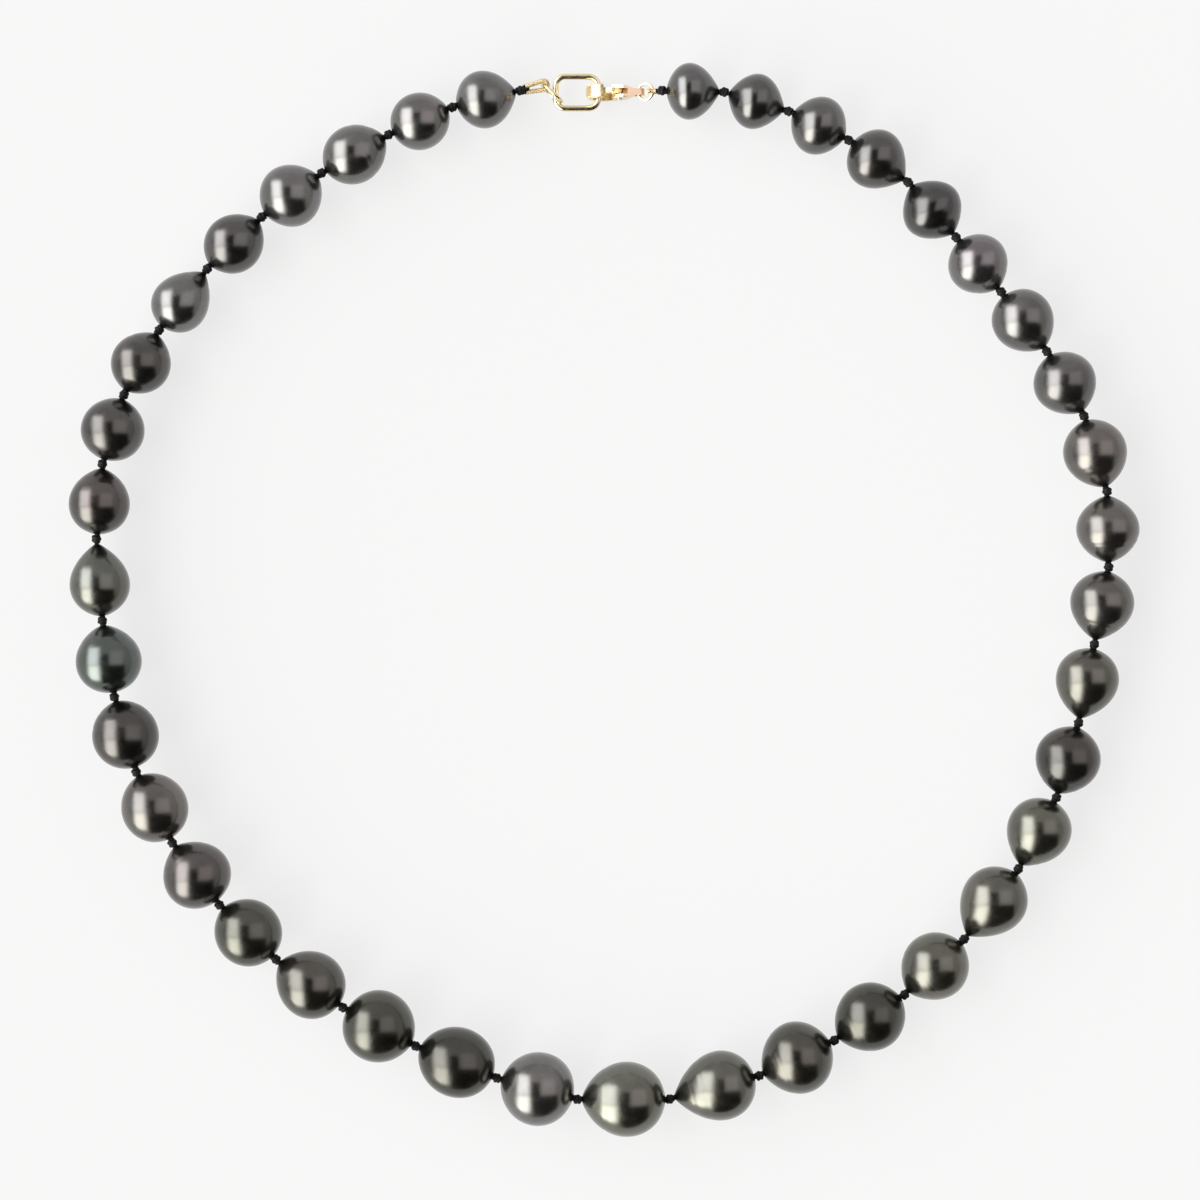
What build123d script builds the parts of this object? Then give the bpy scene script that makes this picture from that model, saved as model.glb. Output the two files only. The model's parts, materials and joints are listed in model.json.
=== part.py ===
"""A necklace of graduated, knotted drop pearls that closes with a gold lobster clasp.

Millimetres, +Z up. The necklace lies on a table in a loop, with its clasp at +Y and
its largest pearl at -Y. The origin is on the table, under the middle of the loop.
Each pearl lies on its belly, with its drill hole level, and the silk cord is knotted
between every two pearls. At the clasp end each silk end turns back through a small
loop of gimp, which is fine gold wire wound into a tube.
"""

import os
from math import acos, asin, atan2, cos, hypot, pi, radians, sin

from build123d import *

# ---------------------------------------------------------------- driving dimensions

# The strand's route through its knots, clockwise from the knot at the clasp's tail.
HARDWARE_Y = 71.6
STRAND_ROUTE = [
    (7.6, HARDWARE_Y),
    (16.4, 71.4),
    (25.3, 68.7),
    (33.8, 64.6),
    (42.2, 58.6),
    (48.9, 50.9),
    (61.6, 34.9),
    (66.9, 25.6),
    (70.0, 15.3),
    (70.2, 4.6),
    (68.2, -6.2),
    (62.8, -27.8),
    (57.4, -37.8),
    (41.3, -55.4),
    (31.5, -61.7),
    (21.0, -66.6),
    (8.6, -69.8),
    (-4.3, -69.8),
    (-15.7, -66.8),
    (-36.8, -57.2),
    (-54.4, -42.7),
    (-66.0, -24.3),
    (-70.9, -2.9),
    (-70.9, 19.2),
    (-63.1, 37.8),
    (-48.7, 53.7),
    (-31.0, 65.3),
    (-22.0, 69.2),
    (-12.3, HARDWARE_Y),
]

# How sharply a pearl's end closes: 0.5 is an ellipse, and a drop's tip is more.
ROUND, SOFT, DRAWN, DROP, TIP = 0.48, 0.55, 0.65, 0.75, 0.85

# The pearls, clockwise from the clasp's tail: diameter, length, near end, far end.
PEARLS = [
    (8.0, 7.5, SOFT, TIP),
    (7.9, 8.2, DROP, TIP),
    (8.4, 8.1, DRAWN, DRAWN),
    (8.6, 9.0, SOFT, TIP),
    (8.7, 9.0, DROP, DROP),
    (8.6, 8.7, SOFT, DRAWN),
    (8.7, 9.3, ROUND, DRAWN),
    (8.9, 9.2, SOFT, DRAWN),
    (9.0, 9.8, SOFT, DRAWN),
    (8.9, 9.4, DRAWN, DRAWN),
    (9.0, 9.8, SOFT, DROP),
    (8.9, 10.0, ROUND, DROP),
    (9.2, 9.7, SOFT, DRAWN),
    (9.1, 10.1, ROUND, DROP),
    (9.4, 11.2, SOFT, TIP),
    (9.5, 10.2, SOFT, DRAWN),
    (9.7, 10.5, SOFT, DRAWN),
    (10.3, 10.4, SOFT, DRAWN),
    (9.8, 11.7, ROUND, TIP),
    (10.5, 11.7, ROUND, DRAWN),
    (10.4, 10.4, ROUND, SOFT),
    (9.9, 11.0, ROUND, SOFT),
    (10.2, 10.3, SOFT, ROUND),
    (9.5, 10.3, ROUND, DRAWN),
    (9.4, 9.8, ROUND, SOFT),
    (9.7, 9.7, ROUND, DRAWN),
    (9.4, 9.9, ROUND, SOFT),
    (9.4, 9.7, ROUND, SOFT),
    (9.3, 9.6, ROUND, DRAWN),
    (8.5, 10.3, SOFT, TIP),
    (8.6, 9.3, ROUND, DRAWN),
    (9.0, 8.9, ROUND, SOFT),
    (8.5, 9.1, SOFT, DRAWN),
    (8.0, 9.7, ROUND, TIP),
    (8.2, 9.3, SOFT, DRAWN),
    (8.9, 9.2, SOFT, DRAWN),
    (8.3, 9.6, SOFT, DRAWN),
    (8.1, 8.5, ROUND, SOFT),
    (8.2, 8.6, SOFT, DROP),
]
BELLY_SHIFT = 0.25  # how far a sharper far end pushes the belly back, per step of end
DRILL_RADIUS = 0.40
OUTLINE_STEPS = 14

SILK_RADIUS = 0.30
KNOT_RADIUS = 0.64
SILK_INTO_KNOT = 0.40  # how deep each run of silk goes into a knot
SHORTEST_GAP, LONGEST_GAP = 0.6, 2.0  # search limits for the room that a knot takes
GAP_PRECISION = 1e-4
SHARE_PRECISION = 1e-7  # of the route's length, in the search for where a knot falls
ROUTE_USED_UP = 1.0 - 1e-6  # the share at which the last knot has met the route's end
PEARLS_PER_SILK = 4

GIMP_RADIUS = 0.35
GIMP_BORE = 0.20
GIMP_SILK_RADIUS = 0.17
GIMP_TURN_RADIUS = 0.65
GIMP_START = 0.72
GIMP_START_SPREAD = 0.42

JUMP_RING_RADIUS = 1.80
JUMP_RING_WIRE = 0.25
JUMP_RING_TURN = -40.0
JUMP_RING_PLACE = (4.4, -0.1)  # its centre, along and beside the line of the clasp

LINK_LENGTH, LINK_WIDTH = 6.9, 5.3
LINK_WIRE_RADIUS = 0.44
LINK_CORNER_RADIUS = 1.35
LINK_LEFT = 4.5
LINK_HEIGHT = 2.2
LINK_TILT = 5.0

CLAW_RADIUS = 2.40
CLAW_OPENING_RADIUS = 1.45
CLAW_NOSE = 9.20
CLAW_THICKNESS = 1.90
SHANK_THICKNESS = 1.60
TAIL_THICKNESS = 0.90
TAIL_EYE_PLACE = 16.55
TAIL_EYE_RADIUS = 0.92
TAIL_EYE_BORE = 0.45
CLAW_EDGE = 0.28
NOSE_THINNING = 0.55  # the nose's thickness, as a share of the claw's
CHEEK_FROM, CHEEK_TO = -0.8, 0.5  # the claw's full thickness, in claw radii
SHANK_RUN, NECK_RUN = 1.7, 0.7  # where the shank and the neck end before the tail's eye

LEVER_THICKNESS = 0.62
LEVER_SLOT = 0.82
LEVER_BOSS_CLEARANCE = 0.12
PIVOT_CLEARANCE = 0.04
RIVET_RADIUS = 0.28
RIVET_HEAD_RADIUS = 0.42
RIVET_HEAD_HEIGHT = 0.12

TAIL_RING_RADIUS = 1.15
TAIL_RING_WIRE = 0.21

# ------------------------------------------------------------------------ the layout

os.makedirs("parts", exist_ok=True)


def save(piece, name):
    """Label a finished piece and write its STEP file."""
    piece.part.label = name
    export_step(piece.part, f"parts/{name}.step")


with BuildLine() as route_line:
    Spline(*STRAND_ROUTE)
ROUTE = route_line.edges()[0]


def spot(share):
    """The point of the route at a share of its length, as (x, y)."""
    point = ROUTE.position_at(share)
    return point.X, point.Y


def step_along(share, chord):
    """The share of the route where a straight chord from an earlier share ends."""
    start_x, start_y = spot(share)
    low, high = share, min(1.0, share + 2 * chord / ROUTE.length)
    while high - low > SHARE_PRECISION:
        middle = (low + high) / 2
        x, y = spot(middle)
        if hypot(x - start_x, y - start_y) < chord:
            low = middle
        else:
            high = middle
    return high


def knot_shares(gap):
    """Where the knots fall on the route when each pearl is given this much more room."""
    shares = [0.0]
    for _, length, _, _ in PEARLS:
        shares.append(step_along(shares[-1], length + gap))
    return shares


def fit_knot_gap():
    """The room for a knot that brings the last knot to the route's end."""
    low, high = SHORTEST_GAP, LONGEST_GAP
    while high - low > GAP_PRECISION:
        middle = (low + high) / 2
        if knot_shares(middle)[-1] < ROUTE_USED_UP:
            low = middle
        else:
            high = middle
    return low


KNOT_GAP = fit_knot_gap()
KNOTS = [spot(share) for share in knot_shares(KNOT_GAP)]
PEARL_RADII = [diameter / 2 for diameter, _, _, _ in PEARLS]
TAIL_KNOT = KNOTS[0]
LINK_KNOT = KNOTS[-1]


def knot_height(number):
    """A knot hangs halfway between its two pearls' drill holes."""
    before = PEARL_RADII[max(number - 1, 0)]
    after = PEARL_RADII[min(number, len(PEARLS) - 1)]
    return (before + after) / 2


# ------------------------------------------------------------------------ the pearls


def pearl_frame(number):
    """The middle of a pearl's drill hole and the direction that the hole runs in."""
    x0, y0 = KNOTS[number]
    x1, y1 = KNOTS[number + 1]
    centre = Vector((x0 + x1) / 2, (y0 + y1) / 2, PEARL_RADII[number])
    direction = Vector(x1 - x0, y1 - y0, 0).normalized()
    return centre, direction


def pearl_outline(number):
    """Points of a pearl's side, from one mouth of its drill hole to the other."""
    diameter, length, near_end, far_end = PEARLS[number]
    radius = diameter / 2
    belly = -BELLY_SHIFT * (far_end - near_end) * length
    near_run, far_run = belly + length / 2, length / 2 - belly
    start = asin((DRILL_RADIUS / radius) ** (0.5 / near_end))
    stop = pi - asin((DRILL_RADIUS / radius) ** (0.5 / far_end))
    points = []
    for step in range(OUTLINE_STEPS + 1):
        turn = start + (stop - start) * step / OUTLINE_STEPS
        run, end = (near_run, near_end) if turn < pi / 2 else (far_run, far_end)
        points.append((belly - run * cos(turn), radius * sin(turn) ** (2 * end)))
    return points


for number in range(len(PEARLS)):
    centre, direction = pearl_frame(number)
    side_plane = Plane(centre, x_dir=direction, z_dir=direction.cross(Vector(0, 0, 1)))
    outline = pearl_outline(number)
    with BuildPart() as pearl:
        with BuildSketch(side_plane):
            with BuildLine():
                Spline(*outline)
                Line(outline[-1], outline[0])
            make_face()
        revolve(axis=Axis(centre, direction))
    save(pearl, f"pearl_{number + 1:02d}")

# -------------------------------------------------------------- the gimp and its silk


class SilkEnd:
    """One end of the strand: the silk turns back through gimp, round a ring's wire."""

    def __init__(self, knot, ring_point, ring_direction):
        self.knot = knot
        self.reach = (ring_point - knot).length
        along = (ring_point - knot).normalized()
        normal = (ring_direction - along * ring_direction.dot(along)).normalized()
        self.plane = Plane(knot, x_dir=along, z_dir=normal)

    def path_points(self, back):
        """The start of a leg, where it meets the turn, and the turn's far point."""
        run, side = GIMP_START - self.reach, GIMP_START_SPREAD
        opening = atan2(side, run) - acos(GIMP_TURN_RADIUS / hypot(run, side))
        meet_x = self.reach + GIMP_TURN_RADIUS * cos(opening)
        meet_y = GIMP_TURN_RADIUS * sin(opening)
        leg = hypot(meet_x - GIMP_START, meet_y - side)
        start_x = GIMP_START - back * (meet_x - GIMP_START) / leg
        start_y = side - back * (meet_y - side) / leg
        return (start_x, start_y), (meet_x, meet_y), (self.reach + GIMP_TURN_RADIUS, 0)

    def section(self, radius, bore, back):
        """A round section on the plane across the first leg, at the path's start."""
        start, meet, _ = self.path_points(back)
        start_point = self.plane.from_local_coords(Vector(*start, 0))
        meet_point = self.plane.from_local_coords(Vector(*meet, 0))
        run = meet_point - start_point
        with BuildSketch(Plane(start_point, x_dir=self.plane.z_dir, z_dir=run)) as section:
            Circle(radius)
            if bore:
                Circle(bore, mode=Mode.SUBTRACT)
        return section.sketch

    def path(self, back):
        """Both legs and the turn between them, each leg longer by back at the knot."""
        (start_x, start_y), (meet_x, meet_y), far = self.path_points(back)
        with BuildLine(self.plane) as turn:
            Line((start_x, start_y), (meet_x, meet_y))
            ThreePointArc((meet_x, meet_y), far, (meet_x, -meet_y))
            Line((meet_x, -meet_y), (start_x, -start_y))
        return turn.wire()


def hardware_point(along, beside, height):
    """A point of the clasp, measured from under the knot at the link's end."""
    return Vector(LINK_KNOT[0] + along, HARDWARE_Y + beside, height)


JUMP_RING_HEIGHT = JUMP_RING_RADIUS + JUMP_RING_WIRE
JUMP_RING_CENTRE = hardware_point(*JUMP_RING_PLACE, JUMP_RING_HEIGHT)
JUMP_RING_LEVEL = Vector(cos(radians(JUMP_RING_TURN)), sin(radians(JUMP_RING_TURN)), 0)
UP = Vector(0, 0, 1)

link_knot_point = Vector(*LINK_KNOT, knot_height(len(PEARLS)))
to_ring = JUMP_RING_CENTRE - link_knot_point
ring_slope = atan2(-to_ring.Z, to_ring.dot(JUMP_RING_LEVEL))
ring_outward = UP * sin(ring_slope) - JUMP_RING_LEVEL * cos(ring_slope)
ring_tangent = UP * cos(ring_slope) + JUMP_RING_LEVEL * sin(ring_slope)
LINK_SILK_END = SilkEnd(
    link_knot_point, JUMP_RING_CENTRE + ring_outward * JUMP_RING_RADIUS, ring_tangent
)

CLAW_HEIGHT = CLAW_RADIUS
TAIL_EYE = hardware_point(TAIL_EYE_PLACE, 0, CLAW_HEIGHT)
tail_knot_point = Vector(*TAIL_KNOT, knot_height(0))
tail_slope = (tail_knot_point - TAIL_EYE).normalized()
TAIL_RING_CENTRE = TAIL_EYE + tail_slope * TAIL_RING_RADIUS
TAIL_SILK_END = SilkEnd(
    tail_knot_point, TAIL_EYE + tail_slope * 2 * TAIL_RING_RADIUS, Vector(0, 1, 0)
)

SILK_ENDS = {"gimp_loop_tail": TAIL_SILK_END, "gimp_loop_link": LINK_SILK_END}
for name, silk_end in SILK_ENDS.items():
    with BuildPart() as gimp_loop:
        sweep(silk_end.section(GIMP_RADIUS, GIMP_BORE, 0), path=silk_end.path(0))
    save(gimp_loop, name)

# -------------------------------------------------------------------------- the silk


def thread(start, end):
    """A straight run of silk, inside a BuildPart."""
    run = end - start
    with BuildSketch(Plane(start, z_dir=run)) as section:
        Circle(SILK_RADIUS)
    extrude(section.sketch, amount=run.length)


def knot_plane(number):
    """A plane through a knot, square to the table and along the strand."""
    _, direction = pearl_frame(min(number, len(PEARLS) - 1))
    middle = Vector(*KNOTS[number], knot_height(number))
    return Plane(middle, x_dir=(0, 0, 1), z_dir=direction.cross(Vector(0, 0, 1)))


def silk_ends_at(first, last):
    """The strand's ends that a stretch of silk from one pearl to another reaches."""
    ends = [TAIL_SILK_END] if first == 0 else []
    return ends + ([LINK_SILK_END] if last == len(PEARLS) else [])


# Each stretch of silk runs from inside one pearl to inside the next fourth one.
cuts = list(range(PEARLS_PER_SILK - 1, len(PEARLS) - PEARLS_PER_SILK + 1, PEARLS_PER_SILK))
stretches = list(zip([None] + cuts, cuts + [None]))
for count, (first_pearl, last_pearl) in enumerate(stretches, start=1):
    first = 0 if first_pearl is None else first_pearl
    last = len(PEARLS) if last_pearl is None else last_pearl
    with BuildPart() as silk:
        for number in range(first, min(last + 1, len(PEARLS))):
            centre, direction = pearl_frame(number)
            half_run = (Vector(*KNOTS[number + 1]) - Vector(*KNOTS[number])).length / 2
            reach = direction * (half_run - KNOT_RADIUS + SILK_INTO_KNOT)
            begin = centre if number == first_pearl else centre - reach
            finish = centre if number == last_pearl else centre + reach
            thread(begin, finish)
        first_knot = 0 if first_pearl is None else first + 1
        with Locations(*[knot_plane(k) for k in range(first_knot, last + 1)]):
            Sphere(KNOT_RADIUS)
        for silk_end in silk_ends_at(first if first_pearl is None else 1, last):
            section = silk_end.section(GIMP_SILK_RADIUS, 0, SILK_INTO_KNOT)
            sweep(section, path=silk_end.path(SILK_INTO_KNOT))
    save(silk, f"silk_{count:02d}")

# ------------------------------------------------------------------- rings and link

with BuildPart() as jump_ring:
    ring_side = JUMP_RING_CENTRE + JUMP_RING_LEVEL * JUMP_RING_RADIUS
    with BuildSketch(Plane(ring_side, x_dir=JUMP_RING_LEVEL, z_dir=UP)):
        Circle(JUMP_RING_WIRE)
    revolve(axis=Axis(JUMP_RING_CENTRE, JUMP_RING_LEVEL.cross(UP)))
save(jump_ring, "jump_ring")

LINK_CENTRE = hardware_point(LINK_LEFT + LINK_LENGTH / 2, 0, LINK_HEIGHT)
link_plane = Plane(LINK_CENTRE, x_dir=(1, 0, 0), z_dir=(0, 0, 1)).rotated((LINK_TILT, 0, 0))
with BuildPart() as oval_link:
    with BuildSketch(link_plane, mode=Mode.PRIVATE) as link_middle:
        RectangleRounded(
            LINK_LENGTH - 2 * LINK_WIRE_RADIUS,
            LINK_WIDTH - 2 * LINK_WIRE_RADIUS,
            LINK_CORNER_RADIUS,
        )
    link_path = link_middle.sketch.face().outer_wire()
    with BuildSketch(Plane(link_path @ 0, z_dir=link_path % 0)):
        Circle(LINK_WIRE_RADIUS)
    sweep(path=link_path)
save(oval_link, "oval_link")

with BuildPart() as tail_ring:
    ring_side = TAIL_RING_CENTRE + tail_slope * TAIL_RING_RADIUS
    with BuildSketch(Plane(ring_side, x_dir=tail_slope, z_dir=(0, 1, 0))):
        Circle(TAIL_RING_WIRE)
    revolve(axis=Axis(TAIL_RING_CENTRE, tail_slope.cross(Vector(0, 1, 0))))
save(tail_ring, "tail_ring")

# ------------------------------------------------------------------ the lobster clasp

# The clasp stands on its edge. Its outline is drawn looking along +Y, from its claw's
# centre, with X along the clasp and Y up.
CLAW_CENTRE = hardware_point(CLAW_NOSE + CLAW_RADIUS, 0, CLAW_HEIGHT)
CLAW_PLANE = Plane(CLAW_CENTRE, x_dir=(1, 0, 0), z_dir=(0, -1, 0))
TAIL_RUN = TAIL_EYE.X - CLAW_CENTRE.X
RIVET_SPOT = (2.35, -0.15)
LEVER_TIP = (0.62, 1.93)
LEVER_TIP_RADIUS = 0.36
LEVER_KNOB = (1.30, 2.30)
LEVER_KNOB_RADIUS = 0.34
LEVER_BOSS_RADIUS = 0.62
MOUTH_FROM, MOUTH_TO = 88.0, 30.0
SLOT_REACH = 3.3
SLOT_FROM, SLOT_TO = 190.0, 55.0
SPRING_THICKNESS = 0.14
SPRING_LENGTH = 0.85
SPRING_HEIGHT = 0.90
SPRING_POCKET_LENGTH, SPRING_POCKET_HEIGHT = 1.5, 1.1
SPRING_POCKET_PLACE = 0.55  # the pocket's middle, behind the rivet


def pear_outline(big_radius, small_radius, run):
    """Two circles and their common tangents, inside a BuildSketch."""
    lean = acos((big_radius - small_radius) / run)
    big = (big_radius * cos(lean), big_radius * sin(lean))
    small = (run + small_radius * cos(lean), small_radius * sin(lean))
    with BuildLine() as outline:
        ThreePointArc(big, (-big_radius, 0), (big[0], -big[1]))
        Line((big[0], -big[1]), (small[0], -small[1]))
        ThreePointArc((small[0], -small[1]), (run + small_radius, 0), small)
        Line(small, big)
    make_face(outline.edges())


def wedge(corner, reach, from_angle, to_angle, mode=Mode.ADD):
    """A wedge-shaped face, inside a BuildSketch."""
    x, y = corner
    angles = [from_angle, (from_angle + to_angle) / 2, to_angle]
    rim = [(x + reach * cos(radians(a)), y + reach * sin(radians(a))) for a in angles]
    Polygon(corner, *rim, align=None, mode=mode)


PLAN_SIDE = [
    (-CLAW_RADIUS, NOSE_THINNING * CLAW_THICKNESS / 2),
    (CHEEK_FROM * CLAW_RADIUS, CLAW_THICKNESS / 2),
    (CHEEK_TO * CLAW_RADIUS, CLAW_THICKNESS / 2),
    (TAIL_RUN - SHANK_RUN, SHANK_THICKNESS / 2),
    (TAIL_RUN - NECK_RUN, TAIL_THICKNESS / 2),
    (TAIL_RUN + TAIL_EYE_RADIUS, TAIL_THICKNESS / 2),
]
PLAN_OUTLINE = PLAN_SIDE + [(x, -y) for x, y in reversed(PLAN_SIDE)]

with BuildPart() as clasp_body:
    with BuildSketch(CLAW_PLANE):
        pear_outline(CLAW_RADIUS, TAIL_EYE_RADIUS, TAIL_RUN)
    extrude(amount=CLAW_THICKNESS / 2, both=True)
    fillet(clasp_body.edges().filter_by(Plane.XZ), CLAW_EDGE)
    with BuildSketch(Plane(CLAW_CENTRE)):
        with BuildLine():
            Polyline(*PLAN_OUTLINE, close=True)
        make_face()
    extrude(amount=2 * CLAW_RADIUS, both=True, mode=Mode.INTERSECT)
    with BuildSketch(CLAW_PLANE):
        Circle(CLAW_OPENING_RADIUS)
        with Locations((TAIL_RUN, 0)):
            Circle(TAIL_EYE_BORE)
        wedge((0, 0), 2 * CLAW_RADIUS, MOUTH_FROM, MOUTH_TO)
    extrude(amount=CLAW_THICKNESS, both=True, mode=Mode.SUBTRACT)
    with BuildSketch(CLAW_PLANE):
        wedge(RIVET_SPOT, SLOT_REACH, SLOT_FROM, SLOT_TO)
        with Locations(RIVET_SPOT):
            Circle(LEVER_BOSS_RADIUS + LEVER_BOSS_CLEARANCE)
        with Locations((RIVET_SPOT[0] + SPRING_POCKET_PLACE, RIVET_SPOT[1])):
            Rectangle(SPRING_POCKET_LENGTH, SPRING_POCKET_HEIGHT)
    extrude(amount=LEVER_SLOT / 2, both=True, mode=Mode.SUBTRACT)
    with BuildSketch(CLAW_PLANE):
        with Locations(RIVET_SPOT):
            Circle(RIVET_RADIUS)
    extrude(amount=CLAW_THICKNESS, both=True, mode=Mode.SUBTRACT)
save(clasp_body, "clasp_body")

with BuildPart() as clasp_lever:
    with BuildSketch(CLAW_PLANE) as lever_side:
        with Locations(RIVET_SPOT):
            Circle(LEVER_BOSS_RADIUS)
        with Locations(LEVER_TIP):
            Circle(LEVER_TIP_RADIUS)
        with Locations(LEVER_KNOB):
            Circle(LEVER_KNOB_RADIUS)
        make_hull()
        with Locations(RIVET_SPOT):
            Circle(RIVET_RADIUS + PIVOT_CLEARANCE, mode=Mode.SUBTRACT)
    extrude(amount=LEVER_THICKNESS / 2, both=True)
save(clasp_lever, "clasp_lever")

with BuildPart() as clasp_rivet:
    with BuildSketch(CLAW_PLANE):
        with Locations(RIVET_SPOT):
            Circle(RIVET_RADIUS)
    extrude(amount=CLAW_THICKNESS / 2, both=True)
    for side in (1, -1):
        with BuildSketch(CLAW_PLANE.offset(side * CLAW_THICKNESS / 2)):
            with Locations(RIVET_SPOT):
                Circle(RIVET_HEAD_RADIUS)
        extrude(amount=side * RIVET_HEAD_HEIGHT)
save(clasp_rivet, "clasp_rivet")

with BuildPart() as clasp_spring:
    with BuildSketch(CLAW_PLANE):
        heel_x = RIVET_SPOT[0] + LEVER_BOSS_RADIUS + PIVOT_CLEARANCE
        with BuildLine() as leaf:
            ThreePointArc(
                (heel_x, RIVET_SPOT[1] + SPRING_HEIGHT / 2),
                (heel_x + SPRING_LENGTH / 2, RIVET_SPOT[1]),
                (heel_x, RIVET_SPOT[1] - SPRING_HEIGHT / 2),
            )
            offset(amount=SPRING_THICKNESS / 2)
        make_face()
    extrude(amount=LEVER_THICKNESS / 2, both=True)
save(clasp_spring, "clasp_spring")

print(f"room for each knot {KNOT_GAP:.3f} mm, {len(PEARLS)} pearls")
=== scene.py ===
"""The looks of a knotted pearl necklace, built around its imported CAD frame.

Metres, +Z up, in the frame of the CAD model: the necklace lies on a table in a loop, with
its clasp at +Y. Pearls, knots and gimp are built here from the frame's own joints, boxes
and meshes. The rings, the link and the clasp are CAD pieces that get a better material.
"""

import json
import math
import random

import bpy
import numpy as np
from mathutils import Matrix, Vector, noise


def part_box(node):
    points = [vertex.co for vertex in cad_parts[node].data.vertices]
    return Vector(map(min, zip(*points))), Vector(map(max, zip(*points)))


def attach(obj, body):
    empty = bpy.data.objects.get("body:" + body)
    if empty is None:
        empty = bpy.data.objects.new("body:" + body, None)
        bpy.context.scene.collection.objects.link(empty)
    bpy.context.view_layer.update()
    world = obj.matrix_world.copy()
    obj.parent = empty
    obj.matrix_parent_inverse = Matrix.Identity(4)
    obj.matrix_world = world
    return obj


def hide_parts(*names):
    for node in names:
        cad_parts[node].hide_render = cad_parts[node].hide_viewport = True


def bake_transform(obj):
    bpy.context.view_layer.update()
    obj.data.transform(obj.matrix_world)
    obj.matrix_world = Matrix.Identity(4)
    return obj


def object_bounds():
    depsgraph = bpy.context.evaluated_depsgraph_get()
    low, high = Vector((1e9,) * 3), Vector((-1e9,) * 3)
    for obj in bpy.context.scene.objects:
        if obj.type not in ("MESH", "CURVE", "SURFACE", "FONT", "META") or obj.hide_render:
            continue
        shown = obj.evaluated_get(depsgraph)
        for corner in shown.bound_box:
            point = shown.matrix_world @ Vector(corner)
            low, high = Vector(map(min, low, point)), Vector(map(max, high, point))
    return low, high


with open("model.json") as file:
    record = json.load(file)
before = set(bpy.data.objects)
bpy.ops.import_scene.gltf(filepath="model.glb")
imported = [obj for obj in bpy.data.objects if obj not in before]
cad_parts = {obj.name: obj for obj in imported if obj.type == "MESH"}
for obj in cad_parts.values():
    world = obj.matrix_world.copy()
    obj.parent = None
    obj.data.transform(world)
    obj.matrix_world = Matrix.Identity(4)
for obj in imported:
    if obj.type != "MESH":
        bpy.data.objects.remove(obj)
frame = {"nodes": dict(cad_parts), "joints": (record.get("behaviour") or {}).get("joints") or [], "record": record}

CAD_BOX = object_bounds()
MM = 0.001

JOINTS = {joint["name"]: joint for joint in frame["joints"]}
SLOTS = {part["node"]: part["material_slot"] for part in frame["record"]["subparts"]}
PEARL_COUNT = sum(name.startswith("pearl_") for name in frame["nodes"])
UP = Vector((0, 0, 1))


def knot_joint(number):
    """The joint at a knot, counted from the clasp's tail round to the link."""
    if number == 0:
        return JOINTS["tail_end_bend"]
    if number == PEARL_COUNT:
        return JOINTS["link_end_bend"]
    return JOINTS[f"knot_{number:02d}_bend"]


KNOTS = [Vector(knot_joint(number)["pos_m"]) for number in range(PEARL_COUNT + 1)]


def pearl_axis(number):
    """The middle of a pearl's drill hole and the direction that the hole runs in."""
    low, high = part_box(f"pearl_{number:02d}")
    run = KNOTS[number] - KNOTS[number - 1]
    run.z = 0
    middle = (KNOTS[number] + KNOTS[number - 1]) / 2
    middle.z = (low.z + high.z) / 2
    return middle, run.normalized()


# ----------------------------------------------------------------------- mesh helpers


def mesh_object(name, points, faces, material, smooth=True):
    """A mesh object from points and faces."""
    mesh = bpy.data.meshes.new(name)
    mesh.from_pydata([tuple(point) for point in points], [], faces)
    mesh.update()
    if smooth:
        mesh.polygons.foreach_set("use_smooth", [True] * len(mesh.polygons))
    mesh.materials.append(material)
    piece = bpy.data.objects.new(name, mesh)
    bpy.context.scene.collection.objects.link(piece)
    return piece


def ring_faces(rings, sides, closed, first=0):
    """Quads that join rings of points one after another, and last to first if closed."""
    faces = []
    for ring in range(rings if closed else rings - 1):
        here = first + ring * sides
        there = first + (ring + 1) % rings * sides
        for side in range(sides):
            beside = (side + 1) % sides
            faces.append((here + side, here + beside, there + beside, there + side))
    return faces


# A direction that no path in the necklace starts along.
OFF_EVERY_AXIS = (0.31, 0.17, 0.93)


def sides_along(path):
    """Two directions square to a path at each of its points, which don't turn about it."""
    path = np.asarray(path, float)
    tangents = np.gradient(path, axis=0)
    tangents /= np.linalg.norm(tangents, axis=1)[:, None]
    start = np.cross(tangents[0], OFF_EVERY_AXIS)
    side = start / np.linalg.norm(start)
    sides = []
    for tangent in tangents:
        side = side - tangent * side.dot(tangent)
        side = side / np.linalg.norm(side)
        sides.append(side)
    sides = np.array(sides)
    return sides, np.cross(tangents, sides)


def run_lengths(path):
    """How far along the path each of its points lies."""
    steps = np.linalg.norm(np.diff(path, axis=0), axis=1)
    return np.concatenate([[0.0], np.cumsum(steps)])


def tube(path, radius, sides, plies=0, lay=1.0, depth=0.0, first=0):
    """Points and faces of a capped tube. Plies make its section lobed, and twist it."""
    path = np.asarray(path, float)
    side, lift = sides_along(path)
    along = run_lengths(path)
    radii = np.broadcast_to(radius, len(path))
    turns = np.arange(sides) * 2 * math.pi / sides
    points = []
    for ring in range(len(path)):
        twist = 2 * math.pi * along[ring] / lay
        lobes = 1 + depth * np.cos(plies * (turns - twist)) if plies else np.ones(sides)
        reach = radii[ring] * lobes
        points.append(
            path[ring]
            + np.outer(reach * np.cos(turns), side[ring])
            + np.outer(reach * np.sin(turns), lift[ring])
        )
    faces = ring_faces(len(path), sides, False, first)
    last = first + (len(path) - 1) * sides
    faces.append(tuple(reversed(range(first, first + sides))))
    faces.append(tuple(range(last, last + sides)))
    return np.vstack(points), faces


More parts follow.
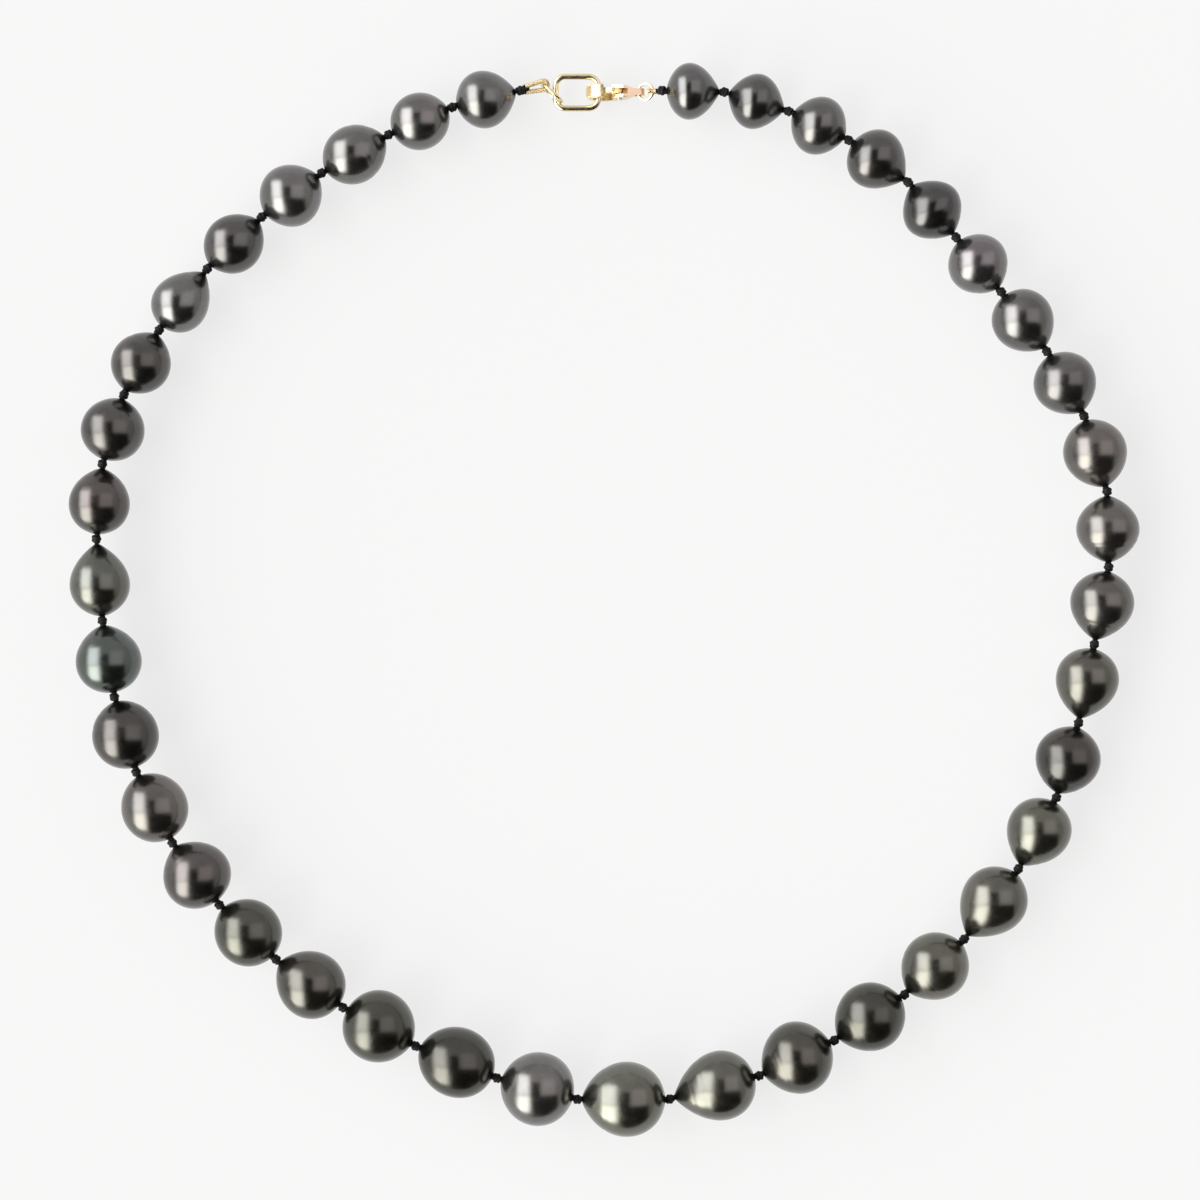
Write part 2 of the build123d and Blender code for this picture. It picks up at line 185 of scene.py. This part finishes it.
def smooth_path(corners, steps):
    """A smooth curve through the corner points, as a cubic by length of run."""
    corners = np.asarray(corners, float)
    along = run_lengths(corners)
    wanted = np.linspace(0, along[-1], steps)
    return np.column_stack([cubic(along, corners[:, axis], wanted) for axis in range(3)])


def cubic(x, y, wanted):
    """The natural cubic spline through (x, y), at each wanted x."""
    count = len(x)
    gap = np.diff(x)
    slope = np.diff(y) / gap
    system = np.zeros((count, count))
    right = np.zeros(count)
    system[0, 0] = system[-1, -1] = 1
    for row in range(1, count - 1):
        system[row, row - 1] = gap[row - 1]
        system[row, row] = 2 * (gap[row - 1] + gap[row])
        system[row, row + 1] = gap[row]
        right[row] = 6 * (slope[row] - slope[row - 1])
    bend = np.linalg.solve(system, right)
    span = np.clip(np.searchsorted(x, wanted) - 1, 0, count - 2)
    back = (x[span + 1] - wanted) / gap[span]
    fore = (wanted - x[span]) / gap[span]
    arch = (back**3 - back) * bend[span] + (fore**3 - fore) * bend[span + 1]
    return back * y[span] + fore * y[span + 1] + arch * gap[span] ** 2 / 6


# --------------------------------------------------------------------- node materials


class Nodes:
    """Short ways to add nodes to a node tree."""

    def __init__(self, tree):
        self.tree = tree

    def node(self, kind):
        """A new node of that kind in the tree."""
        return self.tree.nodes.new(kind)

    def link(self, output, socket):
        """Lead an output to an input socket."""
        self.tree.links.new(output, socket)

    def mix(self, factor, first, second, blend="MIX"):
        """Two colours mixed by a factor, which is a number or an output."""
        made = self.node("ShaderNodeMix")
        made.data_type = "RGBA"
        made.blend_type = blend
        for socket, value in ((0, factor), (6, first), (7, second)):
            if isinstance(value, bpy.types.NodeSocket):
                self.link(value, made.inputs[socket])
            elif socket == 0:
                made.inputs[socket].default_value = value
            else:
                made.inputs[socket].default_value = (*value, 1)
        return made.outputs[2]

    def spread(self, value, low, high, start=0.0, stop=1.0):
        """A value mapped from start-stop to low-high, smoothly."""
        made = self.node("ShaderNodeMapRange")
        made.interpolation_type = "SMOOTHSTEP"
        made.inputs["From Min"].default_value = start
        made.inputs["From Max"].default_value = stop
        made.inputs["To Min"].default_value = low
        made.inputs["To Max"].default_value = high
        self.link(value, made.inputs["Value"])
        return made.outputs["Result"]

    def math(self, operation, first, second):
        """A sum, product or other operation on two values."""
        made = self.node("ShaderNodeMath")
        made.operation = operation
        for socket, value in enumerate((first, second)):
            if isinstance(value, bpy.types.NodeSocket):
                self.link(value, made.inputs[socket])
            else:
                made.inputs[socket].default_value = value
        return made.outputs["Value"]


class Shader(Nodes):
    """A node material with a Principled shader, and textures that stay on its piece."""

    def __init__(self, name):
        self.material = bpy.data.materials.new(name)
        self.material.use_nodes = True
        super().__init__(self.material.node_tree)
        self.principled = self.tree.nodes["Principled BSDF"]
        self.place = self.node("ShaderNodeTexCoord").outputs["Object"]

    def set(self, **values):
        """Set the Principled shader's own sockets."""
        for name, value in values.items():
            self.principled.inputs[name.replace("_", " ")].default_value = value

    def noise(self, scale, detail=3.0, roughness=0.5, distortion=0.0, place=None):
        """The value of a noise texture, with its scale in features per metre."""
        made = self.node("ShaderNodeTexNoise")
        made.inputs["Scale"].default_value = scale
        made.inputs["Detail"].default_value = detail
        made.inputs["Roughness"].default_value = roughness
        made.inputs["Distortion"].default_value = distortion
        self.link(place or self.place, made.inputs["Vector"])
        return made.outputs["Fac"]

    def ramp(self, value, stops):
        """A colour for each value, from (position, (r, g, b)) stops."""
        made = self.node("ShaderNodeValToRGB")
        elements = made.color_ramp.elements
        while len(elements) < len(stops):
            elements.new(0.5)
        for element, (position, colour) in zip(elements, stops):
            element.position = position
            element.color = (*colour, 1)
        self.link(value, made.inputs["Fac"])
        return made.outputs["Color"]

    def bump(self, height, strength, distance):
        """Raise the surface by a height, a share of the distance in metres."""
        made = self.node("ShaderNodeBump")
        made.inputs["Strength"].default_value = strength
        made.inputs["Distance"].default_value = distance
        self.link(height, made.inputs["Height"])
        self.link(made.outputs["Normal"], self.principled.inputs["Normal"])

    def attribute(self, name):
        """A value stored on the mesh's points."""
        made = self.node("ShaderNodeAttribute")
        made.attribute_name = name
        return made.outputs["Fac"]

    def base(self, colour):
        """Lead a colour to the Principled shader."""
        self.link(colour, self.principled.inputs["Base Color"])

    def roughness(self, value):
        """Lead a roughness to the Principled shader."""
        self.link(value, self.principled.inputs["Roughness"])


# Each overtone: the nacre's shade, its overtone in drifts, and the painted shade it darkens to by the drill holes.
NACRE = {
    "pearl_grey": ((0.110, 0.109, 0.105), (0.139, 0.131, 0.130), (0.026, 0.024, 0.025)),
    "pearl_mauve": ((0.108, 0.104, 0.097), (0.142, 0.128, 0.122), (0.023, 0.021, 0.020)),
    "pearl_olive": ((0.102, 0.100, 0.086), (0.129, 0.124, 0.106), (0.020, 0.019, 0.014)),
    "pearl_silver": ((0.119, 0.117, 0.111), (0.142, 0.137, 0.128), (0.037, 0.035, 0.032)),
    "pearl_green": ((0.089, 0.104, 0.095), (0.114, 0.129, 0.117), (0.014, 0.019, 0.016)),
}
# The bronze pearl's shade, overtone and painted shade by the holes, laid out as in NACRE.
BRONZE = ((0.100, 0.095, 0.083), (0.117, 0.119, 0.105), (0.017, 0.017, 0.014))
BRONZE_PEARL = 30  # its green is only a flush over a bronze body

# How light a pearl's nacre is against its overtone's own shade, where it differs.
LIGHTNESS = {
    1.30: (6, 20, 21, 34, 36, 37, 38, 39),
    1.14: (7, 9, 10, 14, 15, 16, 19, 27, 30),
    0.80: (4, 18, 23, 24, 25, 26, 31, 32, 33, 35),
    0.64: (5, 13, 17, 22, 28),
}


def nacre(number):
    """One pearl's nacre: a dark body under clear layers, with its own drifts of shade, and painted shade darkening
    it by its drill holes.
    """
    chance = random.Random(100 + number)
    body, overtone, painted_shade_by_hole = NACRE[SLOTS[f"pearl_{number:02d}"]]
    if number == BRONZE_PEARL:
        body, overtone, painted_shade_by_hole = BRONZE
    light = chance.uniform(0.96, 1.04)
    for lightness, numbers in LIGHTNESS.items():
        if number in numbers:
            light *= lightness
    body = tuple(light * part for part in body)
    overtone = tuple(light * part * chance.uniform(0.97, 1.03) for part in overtone)
    shader = Shader(f"nacre_{number:02d}")
    drift = shader.noise(150, 2.0, 0.5, 0.6)
    cloud = shader.noise(620, 4.0, 0.6, 0.3)
    grain = shader.noise(5200, 2.0, 0.6)
    colour = shader.ramp(drift, [(0.34, body), (0.68, overtone)])
    mottle = shader.ramp(cloud, [(0.30, (0.86, 0.86, 0.86)), (0.70, (1.10, 1.10, 1.10))])
    colour = shader.mix(0.75, colour, mottle, "MULTIPLY")
    # Painted shade: the nacre darkens towards a near-black colour by the drill holes, where the knots meet the
    # pearl, and inside the bore.
    painted_shade_near_hole = shader.attribute("painted_shade_near_hole")
    ragged = shader.math("ADD", painted_shade_near_hole, shader.spread(cloud, -0.18, 0.18))
    colour = shader.mix(shader.spread(ragged, 0.0, 0.92), colour, painted_shade_by_hole)
    shader.base(colour)
    shader.roughness(shader.spread(cloud, 0.200, 0.275, 0.3, 0.7))
    shader.set(
        Metallic=0.96,
        IOR=1.55,
        Coat_Weight=0.25,
        Coat_Roughness=0.12,
        Coat_IOR=1.52,
    )
    pits = shader.noise(1500, 1.0, 0.5)
    height = shader.math("ADD", shader.spread(pits, 0.0, 0.75, 0.25, 0.75), grain)
    shader.bump(height, 0.16, 0.012 * MM)
    return shader.material


def silk():
    """Black silk: fine fibres with a little sheen."""
    shader = Shader("black_silk")
    fibre = shader.noise(14000, 3.0, 0.7)
    shade = shader.noise(1400, 2.0, 0.5)
    colour = shader.ramp(fibre, [(0.30, (0.002, 0.002, 0.002)), (0.75, (0.010, 0.009, 0.008))])
    lift = shader.ramp(shade, [(0.3, (0.8, 0.8, 0.8)), (0.8, (1.25, 1.2, 1.15))])
    shader.base(shader.mix(0.8, colour, lift, "MULTIPLY"))
    shader.roughness(shader.spread(fibre, 0.50, 0.78, 0.3, 0.7))
    shader.set(Sheen_Weight=0.03, Sheen_Roughness=0.35, Specular_IOR_Level=0.25)
    shader.bump(fibre, 0.5, 0.02 * MM)
    return shader.material


NOSE_TO_WARMTH = 2.5 * MM  # how far behind its nose the clasp's gold starts to warm


def gold(name, pale, warm, roughness, warm_from=None, warm_to=None):
    """Polished gold with fine rubbing marks, warmer along the clasp if told where."""
    shader = Shader(name)
    drift = shader.noise(420, 3.0, 0.55)
    wear = shader.noise(2600, 5.0, 0.7)
    scratch_place = shader.node("ShaderNodeMapping")
    scratch_place.inputs["Scale"].default_value = (0.16, 1.0, 1.0)
    shader.link(shader.place, scratch_place.inputs["Vector"])
    scratch = shader.noise(16000, 2.0, 0.6, place=scratch_place.outputs["Vector"])
    if warm_from is None:
        tone = shader.spread(drift, 0.0, 1.0, 0.3, 0.7)
    else:
        split = shader.node("ShaderNodeSeparateXYZ")
        shader.link(shader.place, split.inputs["Vector"])
        along = shader.spread(split.outputs["X"], 0.0, 0.8, warm_from, warm_to)
        tone = shader.math("ADD", along, shader.spread(drift, 0.0, 0.2, 0.3, 0.7))
    colour = shader.mix(tone, pale, warm)
    rubbed = shader.ramp(wear, [(0.35, (0.90, 0.90, 0.90)), (0.65, (1.0, 1.0, 1.0))])
    shader.base(shader.mix(0.7, colour, rubbed, "MULTIPLY"))
    shader.roughness(shader.spread(wear, roughness, roughness + 0.13, 0.35, 0.75))
    shader.set(Metallic=1.0, IOR=1.5)
    shader.bump(shader.math("ADD", scratch, drift), 0.25, 0.006 * MM)
    return shader.material


def steel():
    """Drawn spring steel, greyer where it has rubbed."""
    shader = Shader("spring_steel")
    wear = shader.noise(3200, 4.0, 0.65)
    shader.base(shader.ramp(wear, [(0.3, (0.40, 0.40, 0.41)), (0.7, (0.62, 0.62, 0.63))]))
    shader.roughness(shader.spread(wear, 0.22, 0.40, 0.3, 0.7))
    shader.set(Metallic=1.0)
    shader.bump(wear, 0.2, 0.006 * MM)
    return shader.material


def table_top():
    """A plain pale table that glows a little, as if lit from all round."""
    shader = Shader("pale_table")
    shade = shader.noise(3.0, 2.0, 0.5)
    shader.base(shader.ramp(shade, [(0.3, (0.110, 0.110, 0.110)), (0.7, (0.114, 0.114, 0.114))]))
    shader.set(
        Roughness=0.9,
        Specular_IOR_Level=0.0,
        Emission_Color=(1.0, 1.0, 1.0, 1),
        Emission_Strength=TABLE_GLOW,
    )
    return shader.material


# ----------------------------------------------------------------------------- pearls

PEARL_RINGS = 64
PEARL_SIDES = 84
BORE = 0.34 * MM
LIP = 0.07 * MM
RING_SPACING = 0.35 * MM  # the least gap between the CAD rings that shape a pearl
END_CROWDING = 0.4  # how much closer together a pearl's rings are at its ends
UNEVENNESS = 0.085 * MM
SMOOTH_LIP_REACH = 1.2 * MM
# How far from a drill hole the painted shade on the nacre reaches.
HOLE_PAINTED_SHADE_REACH = 1.75 * MM
SWELLS, SWELL_WEIGHT = 0.9, 0.75  # broad unevenness: waves in a radius, and its share
RIPPLES, RIPPLE_WEIGHT = 2.3, 0.25
GROOVE_CHOICES = (0, 1, 1, 2, 3)
GROOVE_PLACES = (0.60, 0.90)  # shares of the way along the side
GROOVE_DEPTHS = (0.010, 0.032)  # mm
GROOVE_WIDTHS = (0.16, 0.30)  # mm


def pearl_side(number):
    """The pearl's side as a smooth line: places along its hole and distances from it."""
    middle, along = pearl_axis(number)
    vertices = frame["nodes"][f"pearl_{number:02d}"].data.vertices
    points = np.array([vertex.co for vertex in vertices], float) - np.array(middle)
    run = points @ np.array(along)
    out = np.linalg.norm(points - np.outer(run, np.array(along)), axis=1)
    order = np.argsort(run)
    run, out = run[order], out[order]
    mouth = out.min() * 1.02  # a little over the drill hole's radius
    kept = [(run[0], out[0])]
    for place, distance in zip(run, out):
        near = math.hypot(place - kept[-1][0], distance - kept[-1][1])
        if distance > mouth and near > RING_SPACING:
            kept.append((place, distance))
    if math.hypot(run[-1] - kept[-1][0], out[-1] - kept[-1][1]) < RING_SPACING / 2:
        kept.pop()
    kept.append((run[-1], out[-1]))
    line = np.array(kept)
    length = run_lengths(line)
    share = np.linspace(0, 1, PEARL_RINGS)
    crowded = (1 - np.cos(math.pi * share)) / 2
    share = (1 - END_CROWDING) * share + END_CROWDING * crowded
    wanted = share * length[-1]
    return np.column_stack(
        [cubic(length, line[:, 0], wanted), cubic(length, line[:, 1], wanted)]
    )


def build_pearl(number):
    """One pearl: its CAD shape made a little uneven, with shallow growth rings and a bore."""
    chance = random.Random(number)
    middle, along = pearl_axis(number)
    across = along.cross(UP)
    side = pearl_side(number)
    length = run_lengths(side)
    to_hole = np.minimum(length, length[-1] - length)
    fade = np.clip(to_hole / SMOOTH_LIP_REACH, 0, 1)
    seed = Vector((chance.uniform(-50, 50), chance.uniform(-50, 50), number))
    grooves = []
    for _ in range(chance.choice(GROOVE_CHOICES)):
        place = chance.uniform(*GROOVE_PLACES)
        depth = chance.uniform(*GROOVE_DEPTHS) * MM
        width = chance.uniform(*GROOVE_WIDTHS) * MM
        grooves.append((place, depth, width))
    radius = side[:, 1].max()
    points = []
    # How much painted shade each point gets: most at the drill holes, and full inside the bore.
    shade = []
    for ring, (run, out) in enumerate(side):
        cut = sum(
            depth * math.exp(-(((length[ring] - place * length[-1]) / width) ** 2))
            for place, depth, width in grooves
        )
        for step in range(PEARL_SIDES):
            turn = 2 * math.pi * step / PEARL_SIDES
            away = across * math.cos(turn) + UP * math.sin(turn)
            here = (along * run + away * out) / radius
            wave = noise.noise(here * SWELLS + seed) * SWELL_WEIGHT
            wave += noise.noise(here * RIPPLES + seed) * RIPPLE_WEIGHT
            sink = UNEVENNESS * (0.5 + 0.5 * wave) * fade[ring]
            shrink = 1 - (sink + cut * fade[ring]) / radius
            points.append(middle + (along * run + away * out) * shrink)
            shade.append(max(0.0, 1 - to_hole[ring] / HOLE_PAINTED_SHADE_REACH))
    bore = []
    for run, inward in ((side[-1][0], -1), (side[0][0], 1)):
        lip = [(run + inward * LIP * 0.4, BORE + LIP * 0.3), (run + inward * LIP * 2, BORE)]
        bore += lip if inward < 0 else reversed(lip)
    for run, out in bore:
        for step in range(PEARL_SIDES):
            turn = 2 * math.pi * step / PEARL_SIDES
            away = across * math.cos(turn) + UP * math.sin(turn)
            points.append(middle + along * run + away * out)
            shade.append(1.0)
    faces = ring_faces(PEARL_RINGS + len(bore), PEARL_SIDES, True)
    faces = [tuple(reversed(face)) for face in faces]
    name = f"nacre_pearl_{number:02d}"
    piece = mesh_object(name, points, faces, nacre(number))
    stored = piece.data.attributes.new("painted_shade_near_hole", "FLOAT", "POINT")
    stored.data.foreach_set("value", shade)
    node = f"pearl_{number:02d}"
    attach(piece, node)
    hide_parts(node)


# ------------------------------------------------------------------- silk and its gimp

SILK_RADIUS = 0.31 * MM
SILK_SIDES = 15
SILK_PLIES = 3
SILK_LAY = 1.5 * MM
PLY_DEPTH = 0.08
KNOT_REACH = 0.46 * MM
KNOT_WRAP = 0.39 * MM
KNOT_TURNS = 2.25
KNOT_OPENNESS = 0.6  # how soon a knot's wraps reach their full width
WRAP_MARGIN = 0.10  # of the arch that the wraps' width follows, cut off at each end
WRAP_STEPS = 25
HEART_LENGTH = 1.3  # the knot's hidden middle, in KNOT_REACH
HEART_WIDTH = 1.1  # in SILK_RADIUS
HEART_TAPER = 0.75  # how much of the square of its width is gone at its ends
HEART_RINGS = 9
SILK_RINGS = 110
MOUTH_REACH = 0.66 * MM  # from a knot's middle to the mouth of a drill hole
INTO_PEARL = 2.2 * MM
INTO_GIMP = 1.30 * MM


def strand_ends(number):
    """The points where the strand meets a knot: inside, and at the mouth, on both sides."""
    knot = KNOTS[number]
    ends = []
    for pearl, sign in ((number, -1), (number + 1, 1)):
        if 1 <= pearl <= PEARL_COUNT:
            middle, along = pearl_axis(pearl)
            mouth = knot + sign * along * MOUTH_REACH
            mouth.z = middle.z
            ends.append((mouth + sign * along * INTO_PEARL, mouth))
        else:
            toward = GIMP_LOOPS[number].along
            ends.append((knot + toward * INTO_GIMP, knot + toward * MOUTH_REACH))
    return ends


def build_knot(number):
    """A knot: the silk wound tight round itself, and its runs into the pearls beside it."""
    (before, before_mouth), (after, after_mouth) = strand_ends(number)
    knot = KNOTS[number]
    along = (after_mouth - before_mouth).normalized()
    across = along.cross(UP).normalized()
    lift = across.cross(along)
    phase = random.Random(500 + number).uniform(0, 2 * math.pi)
    path = [before, before.lerp(before_mouth, 0.5), before_mouth]
    for share in (step / (WRAP_STEPS - 1) for step in range(WRAP_STEPS)):
        turn = phase + 2 * math.pi * KNOT_TURNS * share
        arch = math.sin(math.pi * (WRAP_MARGIN + (1 - 2 * WRAP_MARGIN) * share))
        reach = KNOT_WRAP * arch**KNOT_OPENNESS
        place = knot + along * KNOT_REACH * (2 * share - 1)
        path.append(place + (across * math.cos(turn) + lift * math.sin(turn)) * reach)
    path += [after_mouth, after.lerp(after_mouth, 0.5), after]
    twist = (SILK_SIDES, SILK_PLIES, SILK_LAY, PLY_DEPTH)
    points, faces = tube(smooth_path(path, SILK_RINGS), SILK_RADIUS, *twist)
    shares = np.linspace(-1, 1, HEART_RINGS)
    heart = [knot + along * KNOT_REACH * HEART_LENGTH * share for share in shares]
    swell = SILK_RADIUS * HEART_WIDTH * np.sqrt(1 - HEART_TAPER * shares**2)
    heart_points, heart_faces = tube(heart, swell, *twist, len(points))
    points = np.vstack([points, heart_points])
    piece = mesh_object(f"silk_knot_{number:02d}", points, faces + heart_faces, SILK)
    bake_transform(piece)
    return piece


class GimpLoop:
    """The shape of a CAD gimp loop: both legs from its knot and the turn at a ring."""

    START = 0.72 * MM
    SPREAD = 0.42 * MM
    TURN = 0.65 * MM
    OUTSIDE = 0.35 * MM

    def __init__(self, node, knot):
        vertices = frame["nodes"][node].data.vertices
        points = np.array([vertex.co for vertex in vertices], float) - np.array(knot)
        centred = points - points.mean(0)
        normal = np.linalg.eigh(centred.T @ centred)[1][:, 0]
        toward = points.mean(0) - normal * points.mean(0).dot(normal)
        toward /= np.linalg.norm(toward)
        self.knot = knot
        self.along = Vector(toward)
        self.side = Vector(np.cross(normal, toward))
        self.reach = float((points @ toward).max()) - self.TURN - self.OUTSIDE

    def path(self, back, steps):
        """Points along the loop, its legs longer by back at the knot."""
        run, side = self.START - self.reach, self.SPREAD
        opening = math.atan2(side, run) - math.acos(self.TURN / math.hypot(run, side))
        meet = (self.reach + self.TURN * math.cos(opening), self.TURN * math.sin(opening))
        leg = math.hypot(meet[0] - self.START, meet[1] - side)
        slope = ((meet[0] - self.START) / leg, (meet[1] - side) / leg)
        start = (self.START - back * slope[0], side - back * slope[1])
        leg += back
        whole = 2 * leg + 2 * opening * self.TURN
        flat = []
        for place in np.linspace(0, whole, steps):
            if place < leg:
                x, y = start[0] + slope[0] * place, start[1] + slope[1] * place
            elif place > whole - leg:
                left = whole - place
                x, y = start[0] + slope[0] * left, -(start[1] + slope[1] * left)
            else:
                turn = opening - (place - leg) / self.TURN
                x = self.reach + self.TURN * math.cos(turn)
                y = self.TURN * math.sin(turn)
            flat.append(self.knot + self.along * x + self.side * y)
        return np.array([tuple(point) for point in flat]), whole


GIMP_WIRE = 0.055 * MM
GIMP_WIRE_SIDES = 7
GIMP_PITCH = 0.135 * MM
STEPS_PER_TURN = 12
PATH_STEPS, CORE_STEPS = 240, 60
CORE_RADIUS = 0.235 * MM
CORE_SIDES = 12
CORE_PAST_GIMP = 0.25 * MM


def build_gimp(node, body, loop):
    """Gimp: fine gold wire wound close into a tube, with the silk showing inside it."""
    path, whole = loop.path(0, PATH_STEPS)
    side, lift = sides_along(path)
    along = run_lengths(path)
    turns = int(whole / GIMP_PITCH)
    places = np.linspace(0, whole, turns * STEPS_PER_TURN)
    coil = []
    for place in places:
        index = min(int(np.searchsorted(along, place)), len(path) - 1)
        turn = 2 * math.pi * place / GIMP_PITCH
        away = math.cos(turn) * side[index] + math.sin(turn) * lift[index]
        coil.append(path[index] + (loop.OUTSIDE - GIMP_WIRE) * away)
    points, faces = tube(coil, GIMP_WIRE, GIMP_WIRE_SIDES)
    wire = mesh_object(f"wound_{node}", points, faces, GIMP_GOLD)
    core_path, _ = loop.path(CORE_PAST_GIMP, CORE_STEPS)
    points, faces = tube(core_path, CORE_RADIUS, CORE_SIDES, SILK_PLIES, SILK_LAY, PLY_DEPTH)
    core = mesh_object(f"silk_in_{node}", points, faces, SILK)
    for piece in (wire, core):
        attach(piece, body)
    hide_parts(node)


# ------------------------------------------------------------------- the studio round

TABLE_GLOW = 0.76
TABLE_SIZE = 3.0
TABLE_DROP = 0.02 * MM

# The surround, as a polished ball on the table shows it from above: x0, x1, y0, y1 on the
# ball's own disc from -1 to 1, the softness of its edges and, for a panel, its radiance.
DARK_SIDE = [
    (-0.16, 0.54, -0.74, -0.12, 0.05),
    (-0.18, 0.06, -0.24, 0.25, 0.04),
]
PANELS = [
    (-0.57, -0.25, -0.10, 0.42, 0.075, (5.6, 5.6, 5.7)),
    (-0.55, -0.23, -0.58, -0.12, 0.075, (7.4, 7.4, 7.0)),
    (0.10, 0.48, -0.08, 0.32, 0.06, (1.22, 1.14, 1.17)),
]
SURROUND_UP = (0.78, 0.755, 0.765)
SURROUND_DOWN = (0.60, 0.60, 0.53)
DARK_LEVEL = (0.012, 0.010, 0.007)
SURROUND_BLEND = 0.7
BACKDROP = (0.92, 0.92, 0.92)  # what the camera sees past the table's edge
ABOVE_NADIR = 1.001  # keeps the direction straight down from dividing by nothing


def surround():
    """The world: a grey tent with a tall window, a soft panel and a dark side."""
    world = bpy.data.worlds.new("studio_surround")
    bpy.context.scene.world = world
    world.use_nodes = True
    nodes = Nodes(world.node_tree)
    split = nodes.node("ShaderNodeSeparateXYZ")
    nodes.link(nodes.node("ShaderNodeTexCoord").outputs["Generated"], split.inputs["Vector"])
    raised = nodes.math("ADD", split.outputs["Z"], ABOVE_NADIR)
    stretch = nodes.math("SQRT", nodes.math("MULTIPLY", raised, 2.0), 0.0)
    ball_x = nodes.math("DIVIDE", split.outputs["X"], stretch)
    ball_y = nodes.math("DIVIDE", split.outputs["Y"], stretch)

    def between(value, low, high, soft):
        """1 from low to high and 0 outside, with soft edges."""
        rise = nodes.spread(value, 0.0, 1.0, low - soft, low + soft)
        fall = nodes.spread(value, 1.0, 0.0, high - soft, high + soft)
        return nodes.math("MULTIPLY", rise, fall)

    def patch(x0, x1, y0, y1, soft):
        """1 in a rectangle on the ball's disc and 0 outside."""
        across = between(ball_x, x0, x1, soft)
        return nodes.math("MULTIPLY", across, between(ball_y, y0, y1, soft))

    upper = nodes.spread(ball_y, 0.0, 1.0, -SURROUND_BLEND, SURROUND_BLEND)
    colour = nodes.mix(upper, SURROUND_DOWN, SURROUND_UP)
    for *rectangle, soft in DARK_SIDE:
        colour = nodes.mix(patch(*rectangle, soft), colour, DARK_LEVEL)
    for *rectangle, soft, light in PANELS:
        colour = nodes.mix(patch(*rectangle, soft), colour, light)
    seen = nodes.node("ShaderNodeLightPath").outputs["Is Camera Ray"]
    background = world.node_tree.nodes["Background"]
    nodes.link(nodes.mix(seen, colour, BACKDROP), background.inputs["Color"])


def table():
    """The plain table that the necklace lies on."""
    half = TABLE_SIZE / 2
    corners = [(-half, -half), (half, -half), (half, half), (-half, half)]
    points = [(x, y, -TABLE_DROP) for x, y in corners]
    floor = mesh_object("pale_table", points, [(0, 1, 2, 3)], table_top(), smooth=False)


VIEW_WIDTH = 168.0 * MM
VIEW_CENTRE = (-0.56 * MM, -0.14 * MM)  # beside the middle of the necklace's own box
LENS = 100.0
SENSOR = 36.0
CLIP_SPAN = 20


def camera():
    """A camera straight above, with the clasp at the top of its view."""
    data = bpy.data.cameras.new("above")
    data.lens = LENS
    data.sensor_width = SENSOR
    piece = bpy.data.objects.new("above", data)
    bpy.context.scene.collection.objects.link(piece)
    low, high = CAD_BOX
    middle = (low + high) / 2
    half_height = (high.z - low.z) / 2
    distance = VIEW_WIDTH * LENS / SENSOR
    x, y = middle.x + VIEW_CENTRE[0], middle.y + VIEW_CENTRE[1]
    piece.location = (x, y, half_height + distance)
    data.clip_start = distance / CLIP_SPAN
    data.clip_end = distance * CLIP_SPAN
    bpy.context.scene.camera = piece


# ---------------------------------------------------------------------------- assembly

camera()
surround()
table()
bpy.context.scene.view_settings.view_transform = "Standard"

SILK = silk()
GIMP_GOLD = gold("gimp_gold", (0.80, 0.64, 0.36), (0.88, 0.72, 0.44), 0.24)
LINK_GOLD = gold("link_gold", (0.86, 0.74, 0.46), (0.90, 0.79, 0.54), 0.17)
clasp_low, clasp_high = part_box("clasp_body")
warm_from = clasp_low.x + NOSE_TO_WARMTH
CLASP_GOLD = gold(
    "clasp_gold", (0.86, 0.73, 0.44), (0.88, 0.62, 0.46), 0.27, warm_from, clasp_high.x
)

for number in range(1, PEARL_COUNT + 1):
    build_pearl(number)

GIMP_LOOPS = {
    0: GimpLoop("gimp_loop_tail", KNOTS[0]),
    PEARL_COUNT: GimpLoop("gimp_loop_link", KNOTS[PEARL_COUNT]),
}
build_gimp("gimp_loop_tail", "tail_gimp", GIMP_LOOPS[0])
build_gimp("gimp_loop_link", "link_gimp", GIMP_LOOPS[PEARL_COUNT])

silk_nodes = sorted(name for name in frame["nodes"] if name.startswith("silk_"))
for number in range(PEARL_COUNT + 1):
    knot = build_knot(number)
    for node in silk_nodes:
        low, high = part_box(node)
        if all(low[axis] <= KNOTS[number][axis] <= high[axis] for axis in range(3)):
            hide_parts(node)

CAD_LOOKS = {
    "jump_ring": LINK_GOLD,
    "tail_ring": LINK_GOLD,
    "oval_link": LINK_GOLD,
    "clasp_body": CLASP_GOLD,
    "clasp_lever": CLASP_GOLD,
    "clasp_rivet": CLASP_GOLD,
    "clasp_spring": steel(),
}
for name, material in CAD_LOOKS.items():
    mesh = frame["nodes"][name].data
    mesh.materials.clear()
    mesh.materials.append(material)
